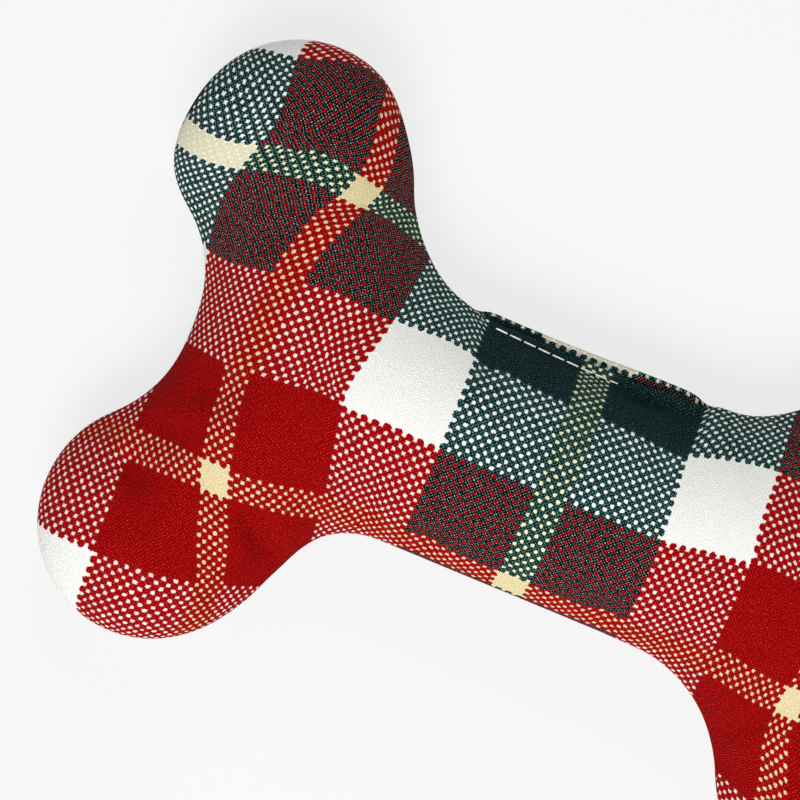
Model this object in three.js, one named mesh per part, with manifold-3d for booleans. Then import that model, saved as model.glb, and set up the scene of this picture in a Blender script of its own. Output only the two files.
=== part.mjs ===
// A stuffed, squeaking dog toy in the shape of a bone, in millimetres, +Z up.
// Two bone-shaped canvas panels are sewn right sides together, turned, and stuffed with wads of fibre
// round a squeaker. A topstitched lip closes the gap on one side of the shaft.
// The toy lies on its back panel: z = 0 is the surface under it, x runs along the bone,
// and the closing lip is on the +y side of the shaft.

import * as THREE from "three";
import { mergeVertices } from "three/addons/utils/BufferGeometryUtils.js";
import Module from "manifold-3d";

const wasm = await Module();
wasm.setup();

// Outline of the stuffed toy, seen from above
const LENGTH = 200;
const END_WIDTH = 131.5;
const SHAFT_WIDTH = 53;
const KNOB_RADIUS = 25;
const NOTCH_DEPTH = 17.5;
const FLANK_RADIUS = 21.5;

// How far each panel swells from the seam, and how far the toy settles on its underside
const SHAFT_RISE = 18;
const JUNCTION_RISE = 20;
const KNOB_RISE = 16.5;
const RIM_ANGLE = THREE.MathUtils.degToRad(71);
const SETTLE = 1.5;

// Cloth and seam
const CLOTH = 0.8;
const ALLOWANCE = 5;
const SEAM_GAP = 0.3;
const CLEAR = 0.3;
const THREAD = 0.5;
const THREAD_INSET = 2.4;

// Closing gap in the shaft's upper edge, with its folded lip and row of stitches
const GAP_CENTRE = -2.6;
const GAP_LENGTH = 46;
const GAP_RAMP = 6;
const GAP_PINCH = 2.4;
const LIP = 3;
const LIP_ROOT = 1.5;
const STITCH = 3.2;
const STITCH_HUMP = 0.3;
const STITCH_FROM_RIM = 0.8;

// Stuffing: its gap to the cloth, and how far behind a knob's centre that knob's wad ends
const WAD_GAP = 0.5;
const KNOB_WAD_BACK = 24;

// Squeaker bulb
const BULB_DIAMETER = 32;
const BULB_HEIGHT = 20;
const BULB_EDGE = 8;
const BULB_WALL = 1.2;

// Reed unit in the bulb's mouth
const BARREL_DIAMETER = 9;
const BARREL_BORE = 6.8;
const BARREL_LENGTH = 7.5;
const BARREL_FLANGE = 12.4;
const FLANGE_THICKNESS = 1;
const SNAP_BEAD = 0.7;
const SNAP_LENGTH = 1.2;
const REED_FIT = 0.15;
const TONGUE_THICKNESS = 0.3;
const TONGUE_WIDTH = 3.6;
const TONGUE_TAIL = 2.2;
const TONGUE_BLADE = 5;
const TONGUE_OPEN = THREE.MathUtils.degToRad(3);
const TROUGH_WIDTH = 2.4;
const TROUGH_END = 1.2;

// Steps round one quarter of the outline, rows from rim to crown, and turns of the round pieces
const SHAFT_STEPS = 5;
const FLANK_STEPS = 3;
const BRANCH_STEPS = 4;
const KNOB_STEPS = 12;
const DOME_ROWS = 5;
const BULB_TURNS = 24;
const REED_TURNS = 24;
const ARC_STEPS = 2;
const STITCH_STEPS = 4;
const SEAM_STEPS = 72;

// Heights that follow from those sizes
const SEAM_Z = JUNCTION_RISE - SETTLE + SEAM_GAP / 2;
const BULB_TOP = SEAM_Z + BULB_HEIGHT / 2;
const REED_TOP = BULB_TOP + CLEAR + FLANGE_THICKNESS;
const FAR = LENGTH + END_WIDTH;

const { lerp, smoothstep } = THREE.MathUtils;
const flatPoint = (x, y) => new THREE.Vector2(x, y);
const angleOf = (from, to) => Math.atan2(to.y - from.y, to.x - from.x);

// Centres of the arcs that make one quarter of the outline: the knob, the notch between the two knobs
// (a circle that touches the knob and crosses the axis at the notch's depth), and the flank between
// shaft and knob (a circle that touches both).
const knob = flatPoint(LENGTH / 2 - KNOB_RADIUS, END_WIDTH / 2 - KNOB_RADIUS);
const notchX = LENGTH / 2 - NOTCH_DEPTH;
const notchPast = notchX - knob.x;
const notchRadius =
  (notchPast ** 2 + knob.y ** 2 - KNOB_RADIUS ** 2) / (2 * (KNOB_RADIUS - notchPast));
const notch = flatPoint(notchX + notchRadius, 0);
const flankY = SHAFT_WIDTH / 2 + FLANK_RADIUS;
const flankBack = Math.sqrt((KNOB_RADIUS + FLANK_RADIUS) ** 2 - (knob.y - flankY) ** 2);
const flank = flatPoint(knob.x - flankBack, flankY);

// The crown line runs along the shaft to a junction and branches there to the knobs' centres. The
// junction is the centre of the circle that touches the notch and both flanks.
const touch = notchX + FLANK_RADIUS;
const junctionX = (touch ** 2 - flank.x ** 2 - flank.y ** 2) / (2 * (touch - flank.x));
const junction = flatPoint(junctionX, 0);

// 1 along the closing gap, falling to 0 over a short ramp past each of its ends.
function closing(x) {
  const past = Math.abs(x - GAP_CENTRE) - GAP_LENGTH / 2;
  return 1 - smoothstep(past, 0, GAP_RAMP);
}

// The shaft's upper edge, drawn in where the gap is sewn shut.
const upperEdge = (x) => SHAFT_WIDTH / 2 - GAP_PINCH * closing(x);

// Points round one quarter of the outline from mid-shaft to the notch, moved in by inset, each with
// the point of the crown line that it faces.
function quarter(inset) {
  const list = [];
  const put = (x, y, crown) => list.push({ rim: flatPoint(x, y), crown });
  const arc = (centre, radius, from, to, steps, crownAt) => {
    for (let i = 1; i <= steps; i++) {
      const turn = lerp(from, to, i / steps);
      put(centre.x + radius * Math.cos(turn), centre.y + radius * Math.sin(turn), crownAt(i));
    }
  };
  for (let i = 0; i <= SHAFT_STEPS; i++) {
    const x = (flank.x * i) / SHAFT_STEPS;
    put(x, SHAFT_WIDTH / 2 - inset, flatPoint(x, 0));
  }
  const flankFoot = flatPoint(flank.x, 0);
  const alongFlank = (i) =>
    i <= FLANK_STEPS
      ? flankFoot.clone().lerp(junction, i / FLANK_STEPS)
      : junction.clone().lerp(knob, (i - FLANK_STEPS) / BRANCH_STEPS);
  const alongNotch = (i) => junction.clone().lerp(knob, (BRANCH_STEPS - i) / BRANCH_STEPS);
  const flankSteps = FLANK_STEPS + BRANCH_STEPS;
  arc(flank, FLANK_RADIUS + inset, -Math.PI / 2, angleOf(flank, knob), flankSteps, alongFlank);
  const knobStart = THREE.MathUtils.euclideanModulo(angleOf(knob, flank), 2 * Math.PI);
  arc(knob, KNOB_RADIUS - inset, knobStart, angleOf(knob, notch), KNOB_STEPS, () => knob);
  arc(notch, notchRadius + inset, angleOf(notch, knob), Math.PI, BRANCH_STEPS, alongNotch);
  return list;
}

// The whole outline, clockwise from mid-shaft on the closing side, from four mirrored quarters.
function outline(inset) {
  const right = quarter(inset);
  const mirrored = (list, sx, sy) =>
    list.map(({ rim, crown }) => ({
      rim: flatPoint(sx * rim.x, sy * rim.y),
      crown: flatPoint(sx * crown.x, sy * crown.y),
    }));
  const inner = right.slice(1, -1);
  const back = [...inner].reverse();
  const loop = [
    ...right,
    ...mirrored(back, 1, -1),
    ...mirrored(right, -1, -1).slice(0, 1),
    ...mirrored(inner, -1, -1),
    ...mirrored(right, -1, 1).slice(-1),
    ...mirrored(back, -1, 1),
  ];
  for (const { rim } of loop) {
    const onShaft = rim.y > 0 && Math.abs(rim.x) <= flank.x + GAP_RAMP;
    if (onShaft) rim.y -= GAP_PINCH * closing(rim.x);
  }
  return loop;
}

// How far a panel rises from the seam at a point of the crown line: most at the junctions.
function riseAt(crown) {
  const alongShaft = smoothstep(Math.abs(crown.x), 0, junction.x);
  const alongBranch = smoothstep(Math.abs(crown.y), 0, knob.y);
  return lerp(lerp(SHAFT_RISE, JUNCTION_RISE, alongShaft), KNOB_RISE, alongBranch);
}

// Height of a point that is lifted off the seam, to the front (+1) or to the back (-1). The back
// settles flat on the surface under the toy, one inset above it for the layers inside.
function heightOf(lift, side, inset) {
  if (side > 0) return SEAM_Z + SEAM_GAP / 2 + lift;
  return Math.max(SEAM_Z - SEAM_GAP / 2 - lift, inset);
}

// A level ring at the outline moved in by inset.
const levelRing = (inset, lift, side) =>
  outline(inset).map(({ rim }) => new THREE.Vector3(rim.x, rim.y, heightOf(lift, side, inset)));

// A ring on the swollen wall, an arc that leaves the seam at the rim angle and lies level at the crown.
// Row 0 is at the height of foot above the seam, and the last row is the crown line.
function wallRing(inset, foot, row, side) {
  const rimCos = Math.cos(RIM_ANGLE);
  return outline(inset).map(({ rim, crown }) => {
    const rise = riseAt(crown) - inset;
    const footAngle = Math.acos(rimCos + (foot / rise) * (1 - rimCos));
    const angle = footAngle * (1 - row / DOME_ROWS);
    const reach = Math.sin(angle) / Math.sin(RIM_ANGLE);
    const lift = (rise * (Math.cos(angle) - rimCos)) / (1 - rimCos);
    const x = lerp(crown.x, rim.x, reach);
    const y = lerp(crown.y, rim.y, reach);
    return new THREE.Vector3(x, y, heightOf(lift, side, inset));
  });
}

const rows = Array.from({ length: DOME_ROWS + 1 }, (_, row) => row);
const wallRings = (inset, foot, side) => rows.map((row) => wallRing(inset, foot, row, side));

// A closed skin through a list of rings; the first and last ring each fold flat on the crown line.
function loft(rings) {
  const count = rings[0].length;
  const positions = rings.flat().flatMap((point) => point.toArray());
  const index = [];
  for (let r = 0; r + 1 < rings.length; r++) {
    for (let i = 0; i < count; i++) {
      const a = r * count + i;
      const b = r * count + ((i + 1) % count);
      index.push(a, b, b + count, a, b + count, a + count);
    }
  }
  const geometry = new THREE.BufferGeometry();
  geometry.setAttribute("position", new THREE.Float32BufferAttribute(positions, 3));
  geometry.setIndex(index);
  return geometry;
}

// A geometry as a solid that can be joined and cut: shared points merged, folded triangles dropped.
function solid(geometry) {
  const bare = geometry.clone();
  bare.deleteAttribute("normal");
  bare.deleteAttribute("uv");
  const merged = mergeVertices(bare);
  const corners = merged.index.array;
  const kept = [];
  for (let i = 0; i < corners.length; i += 3) {
    const [a, b, c] = corners.slice(i, i + 3);
    if (a !== b && b !== c && c !== a) kept.push(a, b, c);
  }
  const vertProperties = new Float32Array(merged.attributes.position.array);
  const triVerts = new Uint32Array(kept);
  return new wasm.Manifold(new wasm.Mesh({ numProp: 3, vertProperties, triVerts }));
}

// A solid back as a geometry for a mesh.
function geometryOf(body) {
  const { vertProperties, triVerts } = body.getMesh();
  const geometry = new THREE.BufferGeometry();
  geometry.setAttribute("position", new THREE.BufferAttribute(vertProperties, 3));
  geometry.setIndex(new THREE.BufferAttribute(triVerts, 1));
  geometry.computeVertexNormals();
  return geometry;
}

const block = (width, depth, height, matrix) =>
  solid(new THREE.BoxGeometry(width, depth, height).applyMatrix4(matrix));

const at = (x, y, z) => new THREE.Matrix4().makeTranslation(x, y, z);

// A round piece turned about the vertical through the origin from a profile of (radius, height).
const turned = (profile, turns) => new THREE.LatheGeometry(profile, turns).rotateX(Math.PI / 2);

// A round cord of sewing thread along a list of points.
function thread(points, steps) {
  const section = new THREE.Shape().absarc(0, 0, THREAD / 2, 0, 2 * Math.PI);
  const extrudePath = new THREE.CatmullRomCurve3(points);
  return new THREE.ExtrudeGeometry(section, { steps, extrudePath, curveSegments: 3 });
}

// Canvas panels: the swollen wall, its turned-in allowance, and half of the closing lip
function panel(side) {
  const outer = wallRings(0, 0, side).reverse();
  const turnedIn = [
    levelRing(CLOTH + ALLOWANCE, 0, side),
    levelRing(CLOTH + ALLOWANCE, CLOTH, side),
  ];
  const inner = wallRings(CLOTH, CLOTH, side);
  const rings = [...outer, ...turnedIn, ...inner];
  return solid(loft(side > 0 ? rings : rings.reverse())).add(lip(side));
}

// The lip: the panel's edge folded back on itself, so two layers thick, standing out from the rim.
function lip(side) {
  const reach = GAP_LENGTH / 2 + GAP_RAMP;
  const steps = 2 * SHAFT_STEPS;
  const stations = Array.from({ length: steps + 1 }, (_, i) => GAP_CENTRE + reach * ((2 * i) / steps - 1));
  const root = stations.map((x) => flatPoint(x, upperEdge(x) - LIP_ROOT));
  const edge = stations.map((x) => flatPoint(x, upperEdge(x) + LIP * closing(x)));
  const shape = new THREE.Shape([...root, ...edge.slice(1, -1).reverse()]);
  const strip = new THREE.ExtrudeGeometry(shape, { depth: 2 * CLOTH, bevelEnabled: false });
  const bottom = side > 0 ? heightOf(0, side, 0) : heightOf(2 * CLOTH, side, 0);
  return solid(strip.applyMatrix4(at(0, 0, bottom)));
}

// The seam's thread, round the outline from one end of the closing gap to the other
function seamThread(side) {
  const lift = CLOTH + CLEAR + THREAD / 2;
  const ring = levelRing(THREAD_INSET, lift, side);
  const inGap = (point) => point.y > 0 && Math.abs(point.x - GAP_CENTRE) < GAP_LENGTH / 2;
  const first = ring.findIndex((point) => !inGap(point));
  const route = [...ring.slice(first), ...ring.slice(0, first)].filter((point) => !inGap(point));
  return thread(route, SEAM_STEPS);
}

// The closing stitches, one hump for each, along the root of the lip
function closingThread(side) {
  const count = Math.round(GAP_LENGTH / STITCH) - 1;
  const lift = 2 * CLOTH + CLEAR + THREAD / 2;
  const points = [];
  for (let i = 0; i <= count * STITCH_STEPS; i++) {
    const stitches = i / STITCH_STEPS;
    const x = GAP_CENTRE + (stitches - count / 2) * STITCH;
    const hump = (STITCH_HUMP * (1 - Math.cos(2 * Math.PI * stitches))) / 2;
    points.push(new THREE.Vector3(x, upperEdge(x) + STITCH_FROM_RIM, heightOf(lift + hump, side, 0)));
  }
  return thread(points, points.length - 1);
}

// Stuffing: the space inside the panels, grooved for the allowance, then cut into wads
const groove = CLOTH + CLEAR + THREAD + CLEAR;
const stuffing = solid(
  loft([
    ...wallRings(CLOTH + WAD_GAP, groove, 1).reverse(),
    levelRing(CLOTH + ALLOWANCE + WAD_GAP, groove, 1),
    levelRing(CLOTH + ALLOWANCE + WAD_GAP, groove, -1),
    ...wallRings(CLOTH + WAD_GAP, groove, -1),
  ]),
);

// The space past a plane square to a branch of the crown line, behind the knob's centre.
function knobSpace(sx, sy, shift) {
  const turn = angleOf(junction, knob);
  const start = shift - KNOB_WAD_BACK;
  const placed = new THREE.Matrix4()
    .makeScale(sx, sy, 1)
    .multiply(at(knob.x, knob.y, 0))
    .multiply(new THREE.Matrix4().makeRotationZ(turn))
    .multiply(at(start + FAR / 2, 0, 0));
  const box = new THREE.BoxGeometry(FAR, FAR, FAR).applyMatrix4(placed);
  if (sx * sy < 0) box.index.array.reverse();
  return solid(box);
}

const knobWad = (sx, sy) => stuffing.intersect(knobSpace(sx, sy, CLEAR / 2));

function neckWad(sx) {
  const start = flank.x + CLEAR / 2;
  const end = block(FAR, FAR, FAR, at(sx * (start + FAR / 2), 0, 0));
  const taken = knobSpace(sx, 1, -CLEAR / 2).add(knobSpace(sx, -1, -CLEAR / 2));
  return stuffing.intersect(end).subtract(taken);
}

function shaftWad(side) {
  const width = 2 * flank.x - CLEAR;
  const middle = side * (FAR / 2 + CLEAR / 2);
  const half = block(width, FAR, FAR, at(0, 0, SEAM_Z + middle));
  return stuffing.intersect(half).subtract(squeakerSpace());
}

// The bulb's outer profile from its lowest point to its top, grown on every side
function bulbProfile(grow, topRadius) {
  const round = BULB_EDGE + grow;
  const radius = BULB_DIAMETER / 2 + grow - round;
  const height = BULB_HEIGHT / 2 + grow;
  const path = new THREE.Path();
  path.moveTo(0, -height);
  path.lineTo(radius, -height);
  path.absarc(radius, round - height, round, -Math.PI / 2, 0);
  path.absarc(radius, height - round, round, 0, Math.PI / 2);
  path.lineTo(topRadius, height);
  return path.getPoints(ARC_STEPS);
}

// The room that the squeaker takes in the stuffing, with the reed unit's flange on top.
function squeakerSpace() {
  const flangeRadius = BARREL_FLANGE / 2 + CLEAR;
  const flangeTop = REED_TOP + CLEAR - SEAM_Z;
  const profile = bulbProfile(CLEAR, flangeRadius);
  profile.push(flatPoint(flangeRadius, flangeTop), flatPoint(0, flangeTop));
  return solid(turned(profile, BULB_TURNS).applyMatrix4(at(0, 0, SEAM_Z)));
}

// Squeaker bulb: a hollow puck with rounded edges and a mouth in its top
function squeakerBulb() {
  const mouth = BARREL_DIAMETER / 2 + CLEAR;
  const outside = bulbProfile(0, mouth);
  const inside = bulbProfile(-BULB_WALL, mouth).reverse();
  return turned([...outside, ...inside], BULB_TURNS).applyMatrix4(at(0, 0, SEAM_Z));
}

// Reed housing: a flanged barrel with a snap bead under the bulb's wall
function reedHousing() {
  const bore = BARREL_BORE / 2;
  const barrel = BARREL_DIAMETER / 2;
  const flange = BARREL_FLANGE / 2;
  const beadTop = -BULB_WALL - CLEAR;
  const profile = [
    flatPoint(bore, -BARREL_LENGTH),
    flatPoint(barrel, -BARREL_LENGTH),
    flatPoint(barrel, beadTop - SNAP_LENGTH),
    flatPoint(barrel + SNAP_BEAD, beadTop),
    flatPoint(barrel, beadTop),
    flatPoint(barrel, CLEAR),
    flatPoint(flange, CLEAR),
    flatPoint(flange, CLEAR + FLANGE_THICKNESS),
    flatPoint(bore, CLEAR + FLANGE_THICKNESS),
    flatPoint(bore, -BARREL_LENGTH),
  ];
  return turned(profile, REED_TURNS).applyMatrix4(at(0, 0, BULB_TOP));
}

// Half of the barrel's bore, on the +x side of the slot that the tongue lies in.
function halfRound(length) {
  const radius = BARREL_BORE / 2 - REED_FIT;
  const flat = TONGUE_THICKNESS / 2 + REED_FIT;
  const half = Math.acos(flat / radius);
  const shape = new THREE.Shape().absarc(0, 0, radius, -half, half);
  return new THREE.ExtrudeGeometry(shape, { depth: length, bevelEnabled: false, curveSegments: 8 });
}

// Reed seat: the full-length half with a trough that is open at the top and closed at the foot
function reedSeat() {
  const length = REED_TOP - BULB_TOP + BARREL_LENGTH;
  const foot = BULB_TOP - BARREL_LENGTH;
  const flat = TONGUE_THICKNESS / 2 + REED_FIT;
  const half = halfRound(length).rotateZ(Math.PI).applyMatrix4(at(0, 0, foot));
  const troughRadius = TROUGH_WIDTH / 2;
  const trough = new THREE.CylinderGeometry(troughRadius, troughRadius, length, REED_TURNS);
  const troughMiddle = foot + TROUGH_END + length / 2;
  trough.rotateX(Math.PI / 2).applyMatrix4(at(-flat, 0, troughMiddle));
  return solid(half).subtract(solid(trough));
}

// Reed clamp: the short half that pins the tongue's tail
const reedClamp = () => halfRound(TONGUE_TAIL).applyMatrix4(at(0, 0, REED_TOP - TONGUE_TAIL));

// Reed tongue: a strip with a straight tail and a blade that stands a little open from the seat
function reedTongue() {
  const half = TONGUE_THICKNESS / 2;
  const tip = flatPoint(Math.sin(TONGUE_OPEN), -Math.cos(TONGUE_OPEN)).multiplyScalar(TONGUE_BLADE);
  const shape = new THREE.Shape([
    flatPoint(-half, TONGUE_TAIL),
    flatPoint(-half, 0),
    flatPoint(tip.x - half, tip.y),
    flatPoint(tip.x + half, tip.y),
    flatPoint(half, 0),
    flatPoint(half, TONGUE_TAIL),
  ]);
  const strip = new THREE.ExtrudeGeometry(shape, { depth: TONGUE_WIDTH, bevelEnabled: false });
  return strip
    .rotateX(Math.PI / 2)
    .applyMatrix4(at(0, TONGUE_WIDTH / 2, REED_TOP - TONGUE_TAIL));
}

// Materials
const finish = (color, roughness) => new THREE.MeshStandardMaterial({ color, roughness, metalness: 0 });
const canvas = finish(0x9c1a1e, 0.9);
const sewing = finish(0xe9e2cc, 0.8);
const fibre = finish(0xf2f0ea, 1);
const softPlastic = finish(0xeef1f2, 0.45);
const hardPlastic = finish(0xf6f4ee, 0.4);
const film = finish(0x3f78b5, 0.3);

// The toy
const toy = new THREE.Group();

function node(name, piece, material) {
  const geometry = piece.isBufferGeometry ? geometryOf(solid(piece)) : geometryOf(piece);
  const mesh = new THREE.Mesh(geometry, material);
  mesh.name = name;
  toy.add(mesh);
}

node("front_panel", panel(1), canvas);
node("back_panel", panel(-1), canvas);
node("seam_needle_thread", seamThread(1), sewing);
node("seam_bobbin_thread", seamThread(-1), sewing);
node("closing_needle_thread", closingThread(1), sewing);
node("closing_bobbin_thread", closingThread(-1), sewing);

for (const [end, sx] of [["left", -1], ["right", 1]]) {
  node(`knob_stuffing_upper_${end}`, knobWad(sx, 1), fibre);
  node(`knob_stuffing_lower_${end}`, knobWad(sx, -1), fibre);
  node(`neck_stuffing_${end}`, neckWad(sx), fibre);
}
node("shaft_stuffing_front", shaftWad(1), fibre);
node("shaft_stuffing_back", shaftWad(-1), fibre);

node("squeaker_bulb", squeakerBulb(), softPlastic);
node("reed_housing", reedHousing(), hardPlastic);
node("reed_seat", reedSeat(), hardPlastic);
node("reed_clamp", reedClamp(), hardPlastic);
node("reed_tongue", reedTongue(), film);

export default toy;
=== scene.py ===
# %% [markdown]
# # A stuffed bone that squeaks
#
# The toy is two bone-shaped canvas panels, sewn face to face, turned right side out, stuffed with fibre
# round a squeaker and closed with one row of stitches. The frame from the CAD model says where every
# piece sits. This lesson gives the pieces their cloth, thread, fibre and plastic.
#
# All sizes are metres. +X runs along the bone, +Y points to the closing lip, and z = 0 is the surface
# that the toy lies on.

# %% Load the frame
import math
from functools import partial

import bpy
import numpy as np
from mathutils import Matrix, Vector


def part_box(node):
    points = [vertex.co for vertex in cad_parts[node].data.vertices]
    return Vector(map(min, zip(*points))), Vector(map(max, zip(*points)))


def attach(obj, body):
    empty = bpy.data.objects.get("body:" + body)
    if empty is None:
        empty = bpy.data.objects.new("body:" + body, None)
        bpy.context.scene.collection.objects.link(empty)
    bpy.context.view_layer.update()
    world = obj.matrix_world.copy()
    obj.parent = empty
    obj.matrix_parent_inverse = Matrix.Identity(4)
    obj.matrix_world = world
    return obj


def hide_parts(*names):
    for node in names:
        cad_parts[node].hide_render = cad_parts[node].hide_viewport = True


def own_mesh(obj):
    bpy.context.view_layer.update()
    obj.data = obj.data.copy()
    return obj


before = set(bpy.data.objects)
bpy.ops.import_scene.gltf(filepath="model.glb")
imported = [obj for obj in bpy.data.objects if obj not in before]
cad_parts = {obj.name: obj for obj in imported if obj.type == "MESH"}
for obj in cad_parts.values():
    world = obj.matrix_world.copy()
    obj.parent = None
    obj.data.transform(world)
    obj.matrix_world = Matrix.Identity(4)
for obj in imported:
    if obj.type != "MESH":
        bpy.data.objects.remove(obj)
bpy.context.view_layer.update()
SCENE = bpy.context.scene
SCENE.view_settings.view_transform = "Standard"
MM = 0.001

# %% [markdown]
# ## Camera
#
# The toy is seen from straight above, turned by 22.5 degrees, and so close that its right end is outside
# the picture. A long lens keeps the knobs from leaning outwards, and still shows a little of the walls
# on the far side of the middle.

# %% Camera
VIEW_WIDTH = 169 * MM
VIEW_CENTRE = (-36.6 * MM, 2.7 * MM)
VIEW_TURN = math.radians(22.5)
LENS = 120
SENSOR = 36
SEAM_LEVEL = (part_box("front_panel")[0].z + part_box("back_panel")[1].z) / 2

camera = bpy.data.objects.new("camera", bpy.data.cameras.new("camera"))
SCENE.collection.objects.link(camera)
camera.data.lens = LENS
camera.data.sensor_width = SENSOR
distance = VIEW_WIDTH * LENS / SENSOR
camera.location = (*VIEW_CENTRE, SEAM_LEVEL + distance)
camera.rotation_euler = (0, 0, VIEW_TURN)
SCENE.camera = camera
print(f"camera {distance:.3f} m above the seam")

# %% [markdown]
# ## Outline of the bone
#
# One quarter of the outline is a straight stretch of the shaft and three arcs: the flank, the knob and
# the notch between two knobs. Each point of the outline also has the point of the crown line that it
# faces: the crown line runs along the shaft to a junction and forks there to the centres of the knobs.
# The same function draws the finished toy and the larger flat cut that it was sewn from.

# %% Outline
FINISHED = dict(length=0.200, end_width=0.1315, shaft=0.053, knob=0.025, notch=0.0175, flank=0.0215)
CUT = dict(length=0.228, end_width=0.148, shaft=0.0675, knob=0.0298, notch=0.021, flank=0.0281)
SHAFT_STEPS, FLANK_STEPS, BRANCH_STEPS, KNOB_STEPS = 16, 12, 14, 42


def bearing(start, end):
    """Angle of the line from one point to another."""
    return math.atan2(end[1] - start[1], end[0] - start[0])


def arc(centre, radius, start, stop, steps):
    """Points on a circle from one angle to another, without the first."""
    turn = np.linspace(start, stop, steps + 1)[1:]
    return centre + radius * np.stack([np.cos(turn), np.sin(turn)], axis=1)


def along(start, end, steps):
    """Points on a straight line from start to end, without the first."""
    return start + (end - start) * np.linspace(0, 1, steps + 1)[1:, None]


def marks(length, end_width, shaft, knob, notch, flank):
    """Centres of the arcs: the notch's circle touches the knob and crosses the axis at its depth, and the
    flank's circle touches shaft and knob. The junction is as far from the notch as from both flanks."""
    knob_at = np.array([length / 2 - knob, end_width / 2 - knob])
    notch_x = length / 2 - notch
    past = notch_x - knob_at[0]
    notch_radius = (past**2 + knob_at[1] ** 2 - knob**2) / (2 * (knob - past))
    flank_y = shaft / 2 + flank
    flank_x = knob_at[0] - math.sqrt((knob + flank) ** 2 - (knob_at[1] - flank_y) ** 2)
    touch = notch_x + flank
    junction_x = (touch**2 - flank_x**2 - flank_y**2) / (2 * (touch - flank_x))
    return dict(
        knob=knob_at,
        notch=np.array([notch_x + notch_radius, 0.0]),
        notch_radius=notch_radius,
        flank=np.array([flank_x, flank_y]),
        junction=np.array([junction_x, 0.0]),
    )


def outline(sizes):
    """Rim points and crown points of the whole bone, clockwise from mid-shaft on the lip's side: one
    quarter from its arcs, then that quarter mirrored three times."""
    m = marks(**sizes)
    foot = np.array([m["flank"][0], 0.0])
    shaft_x = np.linspace(0, foot[0], SHAFT_STEPS + 1)
    edge = np.full_like(shaft_x, sizes["shaft"] / 2)
    flank_turn = bearing(m["flank"], m["knob"])
    knob_turn = bearing(m["knob"], m["flank"]) % (2 * math.pi)
    rim = np.vstack([
        np.stack([shaft_x, edge], axis=1),
        arc(m["flank"], sizes["flank"], -math.pi / 2, flank_turn, FLANK_STEPS + BRANCH_STEPS),
        arc(m["knob"], sizes["knob"], knob_turn, bearing(m["knob"], m["notch"]), KNOB_STEPS),
        arc(m["notch"], m["notch_radius"], bearing(m["notch"], m["knob"]), math.pi, BRANCH_STEPS),
    ])
    crown = np.vstack([
        np.stack([shaft_x, np.zeros_like(shaft_x)], axis=1),
        along(foot, m["junction"], FLANK_STEPS),
        along(m["junction"], m["knob"], BRANCH_STEPS),
        np.repeat(m["knob"][None], KNOB_STEPS, axis=0),
        along(m["knob"], m["junction"], BRANCH_STEPS),
    ])

    def whole(q):
        return np.vstack([q, q[-2::-1] * [1, -1], q[1:] * [-1, -1], q[-2:0:-1] * [-1, 1]])

    return whole(rim), whole(crown)


rim, crown = outline(FINISHED)
cut_rim, cut_crown = outline(CUT)
STATIONS = len(rim)
print("outline of", STATIONS, "points")

# %% [markdown]
# ## Closing gap
#
# The panels are turned and stuffed through a gap in one side of the shaft. Sewing it shut draws the edge
# in and leaves a lip, and the row of stitches sinks a little towards its right end, where the last
# stuffing was pushed in.

# %% Closing gap
GAP_CENTRE, GAP_LENGTH, GAP_RAMP = -2.6 * MM, 46 * MM, 6 * MM
GAP_PINCH, GAP_TILT, GAP_SINK, SINKS_FROM = 3.3 * MM, -0.04, 0.7 * MM, 0.1


def smooth(t):
    """0 below 0, 1 above 1, and an S-shaped ramp between."""
    t = np.clip(t, 0, 1)
    return t * t * (3 - 2 * t)


def closing(x):
    """1 along the gap, falling to 0 over a short ramp past each end."""
    return 1 - smooth((np.abs(x - GAP_CENTRE) - GAP_LENGTH / 2) / GAP_RAMP)


def stitch_line(x):
    """How far the sewn edge lies inside the shaft's edge: the pinch, tilted along the gap and sinking
    towards the right end."""
    sink = GAP_SINK * smooth((x - GAP_CENTRE) / (GAP_LENGTH / 2) - SINKS_FROM)
    return GAP_PINCH - GAP_TILT * (x - GAP_CENTRE) + sink


SHAFT_EDGE = FINISHED["shaft"] / 2
in_gap = (rim[:, 1] > 0) & (np.abs(rim[:, 0] - GAP_CENTRE) < GAP_LENGTH / 2 + GAP_RAMP)
gap_share = np.where(in_gap, closing(rim[:, 0]), 0.0)
rim[:, 1] -= gap_share * stitch_line(rim[:, 0])
print("gap crosses", int(in_gap.sum()), "points of the outline")

# %% [markdown]
# ## Stuffed form
#
# A panel leaves the seam steeply and lies level on top. Each cross-section from rim to crown is an arc,
# and the crown is highest at the junctions, where most fibre gathers. This form is what the stuffing
# holds the cloth out to.

# %% Stuffed form
ROWS = 18
RIM_ANGLE = math.radians(71)
SHAFT_RISE, KNOB_RISE = 18 * MM, 16.5 * MM
JUNCTION_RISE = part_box("front_panel")[1].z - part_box("front_panel")[0].z
JUNCTION_X = marks(**FINISHED)["junction"][0]
KNOB_Y = marks(**FINISHED)["knob"][1]


def rise(points):
    """Height of the crown over the seam: from the shaft's to the junction's along the shaft, and from
    there to the knob's along a branch."""
    shaft = SHAFT_RISE + (JUNCTION_RISE - SHAFT_RISE) * smooth(np.abs(points[:, 0]) / JUNCTION_X)
    return shaft + (KNOB_RISE - shaft) * smooth(np.abs(points[:, 1]) / KNOB_Y)


def stuffed_wall():
    """Rows of points from rim to crown. At each angle, the reach from crown to rim is the angle's sine and
    the lift is its cosine, both scaled to start at the rim and end at the crown."""
    angle = np.linspace(RIM_ANGLE, 0, ROWS + 1)[:, None]
    reach = np.sin(angle) / math.sin(RIM_ANGLE)
    lift = (np.cos(angle) - math.cos(RIM_ANGLE)) / (1 - math.cos(RIM_ANGLE)) * rise(crown)
    plan = crown + (rim - crown) * reach[..., None]
    return np.dstack([plan, lift])


wall = stuffed_wall()
print(f"wall of {ROWS} rows, {wall[..., 2].max() / MM:.1f} mm high")

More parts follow.
